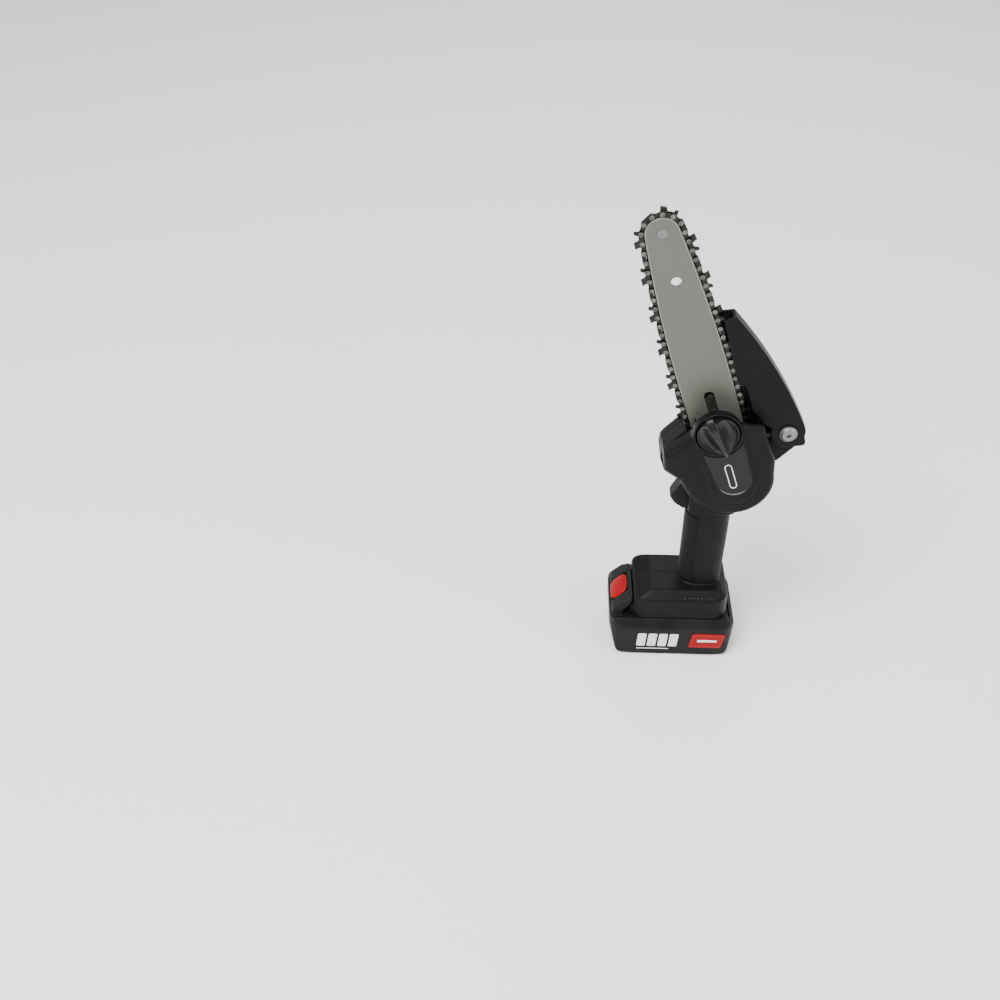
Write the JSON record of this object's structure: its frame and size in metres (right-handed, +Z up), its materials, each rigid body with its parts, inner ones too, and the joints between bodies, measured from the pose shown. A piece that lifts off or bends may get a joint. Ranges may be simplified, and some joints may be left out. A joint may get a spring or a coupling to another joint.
{
  "type": "chainsaw",
  "caption": "Compact battery pruning chainsaw with an upright grip, slide-on pack, leaning guide bar and chain, and a swinging chip guard.",
  "frame": {"origin": "centre of the battery pack's bottom face, on which the tool stands", "axes": "+Z up, -X towards the trigger and the pack's latch, -Y towards the bar's side cover"},
  "size_m": [0.1555, 0.1079, 0.4603],
  "materials": {
    "shell": "fine moulded texture",
    "grip_rubber": "soft matt",
    "pack_shell": "fine moulded texture",
    "badge": "satin gunmetal",
    "knob": "fine moulded texture",
    "brass": "machined",
    "bright_steel": "bright",
    "pad_steel": "dark stamped",
    "bar_steel": "satin ground",
    "chain_steel": "dark, oiled",
    "gear_steel": "machined",
    "rotor": "varnished winding",
    "pale_plastic": "moulded",
    "dark_plastic": "moulded",
    "cast_plate": "cast",
    "spring_steel": "drawn wire",
    "red_button": "satin moulded",
    "board": "solder mask",
    "wire": "insulated",
    "cell": null,
    "plate_red": "printed plate",
    "plate_white": "printed bars"
  },
  "bodies": {
    "housing": {"housing_near": "shell", "housing_far": "shell", "side_cover": "shell", "grip_overmold": "grip_rubber", "cover_badge": "badge", "terminal_blades": "brass", "bar_stud": "bright_steel", "bearing_near": "bright_steel", "bearing_far": "bright_steel", "gear_plate_screws": "bright_steel", "guard_bolt": "bright_steel", "guard_nut": "bright_steel", "housing_screws": "bright_steel", "chain_rivets": "bright_steel", "bar_pad": "pad_steel", "chain_drive_links": "chain_steel", "chain_tie_straps": "chain_steel", "chain_cutters": "chain_steel", "motor_can": "gear_steel", "motor_brush_cap": "pale_plastic", "switch_box": "dark_plastic", "terminal_block": "dark_plastic", "gear_plate": "cast_plate", "guard_spring": "spring_steel", "trigger_spring": "spring_steel", "lock_spring": "spring_steel", "control_board": "board", "wiring": "wire"},
    "knob": {"wing_knob": "knob", "knob_nut": "brass"},
    "bar": {"guide_bar": "bar_steel", "nose_rivet": "bright_steel", "tension_block": "bright_steel"},
    "tension": {"tension_screw": "bright_steel"},
    "nose": {"nose_sprocket": "chain_steel"},
    "drive": {"drive_sprocket": "chain_steel", "sprocket_shaft": "bright_steel", "shaft_circlip": "pad_steel", "drive_gear": "gear_steel"},
    "motor": {"motor_rotor": "rotor", "motor_pinion": "gear_steel", "motor_fan": "dark_plastic"},
    "guard": {"guard": "shell"},
    "trigger": {"trigger": "shell"},
    "lock": {"lock_button": "red_button"},
    "pack": {"battery_tub": "pack_shell", "battery_lid": "pack_shell", "battery_cells": "cell", "cell_holders": "pale_plastic", "cell_straps": "spring_steel", "battery_board": "board", "battery_contacts": "brass", "battery_screws": "bright_steel", "latch_spring": "spring_steel", "pack_plate": "plate_red", "pack_bars": "plate_white"},
    "latch": {"latch_button": "red_button"}
  },
  "joints": [
    {"name": "knob_turn", "type": "hinge", "parent": "housing", "child": "knob", "pos_m": [0.015, -0.045, 0.27], "axis": [0, 1, 0], "continuous": true},
    {"name": "bar_tension", "type": "slide", "parent": "housing", "child": "bar", "axis": [-0.3256, 0, 0.9455], "range_m": [-0.003, 0], "deforming": ["chain_drive_links", "chain_tie_straps", "chain_cutters", "chain_rivets"]},
    {"name": "tension_screw_turn", "type": "hinge", "parent": "housing", "child": "tension", "pos_m": [0.02729, -0.0115, 0.27423], "axis": [-0.3256, 0, 0.9455], "range_deg": [0, 1545]},
    {"name": "nose_spin", "type": "hinge", "parent": "bar", "child": "nose", "pos_m": [-0.04284, -0.022, 0.43797], "axis": [0, 1, 0], "continuous": true},
    {"name": "drive_spin", "type": "hinge", "parent": "housing", "child": "drive", "pos_m": [0.03281, -0.022, 0.21828], "axis": [0, 1, 0], "continuous": true, "deforming": ["chain_drive_links", "chain_tie_straps", "chain_cutters", "chain_rivets"]},
    {"name": "motor_spin", "type": "hinge", "parent": "housing", "child": "motor", "pos_m": [0.02708, 0.02, 0.23492], "axis": [0, 1, 0], "continuous": true},
    {"name": "guard_swing", "type": "hinge", "parent": "housing", "child": "guard", "pos_m": [0.0755, -0.022, 0.2605], "axis": [0, 1, 0], "range_deg": [0, 55], "stiffness_Nm_per_rad": 0.06, "springref_deg": -34.38, "deforming": ["guard_spring"]},
    {"name": "trigger_pull", "type": "slide", "parent": "housing", "child": "trigger", "axis": [1, 0, 0], "range_m": [0, 0.006], "stiffness_N_per_m": 400, "springref_m": -0.005, "deforming": ["trigger_spring"]},
    {"name": "lock_press", "type": "slide", "parent": "housing", "child": "lock", "axis": [0, -1, 0], "range_m": [0, 0.003], "stiffness_N_per_m": 300, "springref_m": -0.004, "deforming": ["lock_spring"]},
    {"name": "pack_slide", "type": "slide", "parent": "housing", "child": "pack", "axis": [-1, 0, 0], "range_m": [0, 0.1]},
    {"name": "latch_press", "type": "slide", "parent": "pack", "child": "latch", "axis": [0.7071, 0, -0.7071], "range_m": [0, 0.003], "stiffness_N_per_m": 500, "springref_m": -0.004, "deforming": ["latch_spring"]}
  ],
  "couplings": [
    {"joint": "tension_screw_turn", "follows": "bar_tension", "rad_per_m": -8976},
    {"joint": "nose_spin", "follows": "drive_spin", "ratio": 1.1667},
    {"joint": "motor_spin", "follows": "drive_spin", "ratio": -2.6667}
  ]
}
